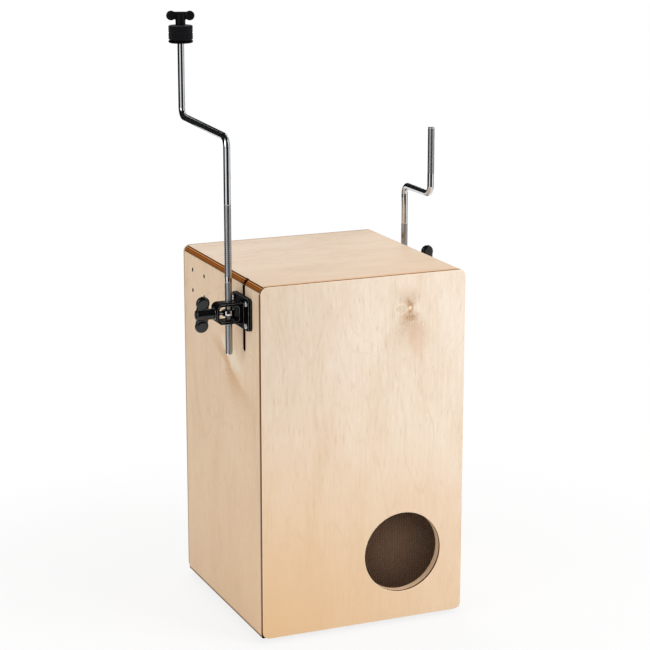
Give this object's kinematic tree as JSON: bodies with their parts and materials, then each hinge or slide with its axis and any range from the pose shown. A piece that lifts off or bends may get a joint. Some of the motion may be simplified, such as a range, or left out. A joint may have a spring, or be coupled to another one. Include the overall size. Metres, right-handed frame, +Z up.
{
  "type": "kick drum cajon",
  "caption": "Plywood box drum to sit on, with a meshed sound port in front and a side clamp on each flank holding a cranked cymbal rod and a cranked percussion rod.",
  "frame": {"origin": "on the floor, under the middle of the box", "axes": "+Z up, -Y out of the front plate with the sound port, +X to the right of someone who looks at that plate"},
  "size_m": [0.4378, 0.305, 0.8373],
  "materials": {
    "birch_ply": "pale birch plywood, clear satin lacquer, plies showing on the edges",
    "plate_ply": "pale birch face veneer with upright grain, dark edge, clear satin lacquer",
    "raw_wood": "raw pale wood",
    "mesh": "dark brown-black woven mesh, matt",
    "zinc_steel": "bright zinc plating",
    "rubber": "black, matt",
    "black_casting": "black, semi-gloss",
    "black_wing": "black, satin",
    "chrome": "bright chrome, with knurled lengths",
    "nylon": "black nylon",
    "felt": "black wool felt"
  },
  "bodies": {
    "cajon": {"top_panel": "birch_ply", "bottom_panel": "birch_ply", "left_side_panel": "birch_ply", "right_side_panel": "birch_ply", "front_plate": "plate_ply", "rear_plate": "plate_ply", "rear_top_batten": "raw_wood", "rear_bottom_batten": "raw_wood", "rear_left_batten": "raw_wood", "rear_right_batten": "raw_wood", "port_ring": "raw_wood", "port_mesh": "mesh", "rear_plate_screws": "zinc_steel", "mesh_staples": "zinc_steel", "foot_screws": "zinc_steel", "left_bracket_bolts": "zinc_steel", "left_bracket_nuts": "zinc_steel", "left_wing_washer": "zinc_steel", "right_bracket_bolts": "zinc_steel", "right_bracket_nuts": "zinc_steel", "right_wing_washer": "zinc_steel", "front_left_foot": "rubber", "front_right_foot": "rubber", "rear_left_foot": "rubber", "rear_right_foot": "rubber", "left_gasket": "rubber", "right_gasket": "rubber", "left_bracket": "black_casting", "right_bracket": "black_casting"},
    "left_wing_nut": {"left_wing_nut": "black_wing"},
    "left_eye_bolt": {"left_eye_bolt": "chrome"},
    "left_rod_bushes": {"left_rod_bushes": "nylon"},
    "cymbal_rod": {"cymbal_rod": "chrome", "cymbal_cup_washer": "black_casting", "lower_felt": "felt", "cymbal_sleeve": "nylon"},
    "upper_felt": {"upper_felt": "felt"},
    "cymbal_wing_nut": {"cymbal_wing_nut": "black_wing"},
    "right_wing_nut": {"right_wing_nut": "black_wing"},
    "right_eye_bolt": {"right_eye_bolt": "chrome"},
    "right_rod_bushes": {"right_rod_bushes": "nylon"},
    "percussion_rod": {"percussion_rod": "chrome"}
  },
  "joints": [
    {"name": "left_wing_nut_turn", "type": "hinge", "parent": "cajon", "child": "left_wing_nut", "pos_m": [-0.2, -0.091, 0.456], "axis": [-1, 0, 0], "range_deg": [0, 450.1]},
    {"name": "left_eye_bolt_slide", "type": "slide", "parent": "cajon", "child": "left_eye_bolt", "axis": [1, 0, 0], "range_m": [0, 0.00125]},
    {"name": "left_rod_swing", "type": "hinge", "parent": "cajon", "child": "left_rod_bushes", "pos_m": [-0.172, -0.091, 0.456], "axis": [0, 0, 1], "continuous": true},
    {"name": "left_rod_height", "type": "slide", "parent": "left_rod_bushes", "child": "cymbal_rod", "axis": [0, 0, 1], "range_m": [-0.18, 0.04]},
    {"name": "upper_felt_lift", "type": "slide", "parent": "cymbal_rod", "child": "upper_felt", "axis": [0, 0, 1], "range_m": [0, 0.00225]},
    {"name": "cymbal_nut_turn", "type": "hinge", "parent": "upper_felt", "child": "cymbal_wing_nut", "pos_m": [-0.1598, 0.12065, 0.825], "axis": [0, 0, 1], "range_deg": [0, 810.1]},
    {"name": "right_wing_nut_turn", "type": "hinge", "parent": "cajon", "child": "right_wing_nut", "pos_m": [0.2, 0.091, 0.456], "axis": [1, 0, 0], "range_deg": [0, 450.1]},
    {"name": "right_eye_bolt_slide", "type": "slide", "parent": "cajon", "child": "right_eye_bolt", "axis": [-1, 0, 0], "range_m": [0, 0.00125]},
    {"name": "right_rod_swing", "type": "hinge", "parent": "cajon", "child": "right_rod_bushes", "pos_m": [0.172, 0.091, 0.456], "axis": [0, 0, 1], "continuous": true},
    {"name": "right_rod_height", "type": "slide", "parent": "right_rod_bushes", "child": "percussion_rod", "axis": [0, 0, 1], "range_m": [-0.06, 0.04]}
  ],
  "couplings": [
    {"joint": "left_wing_nut_turn", "follows": "left_eye_bolt_slide", "rad_per_m": 6283.2},
    {"joint": "right_wing_nut_turn", "follows": "right_eye_bolt_slide", "rad_per_m": 6283.2},
    {"joint": "cymbal_nut_turn", "follows": "upper_felt_lift", "rad_per_m": 6283.2}
  ]
}
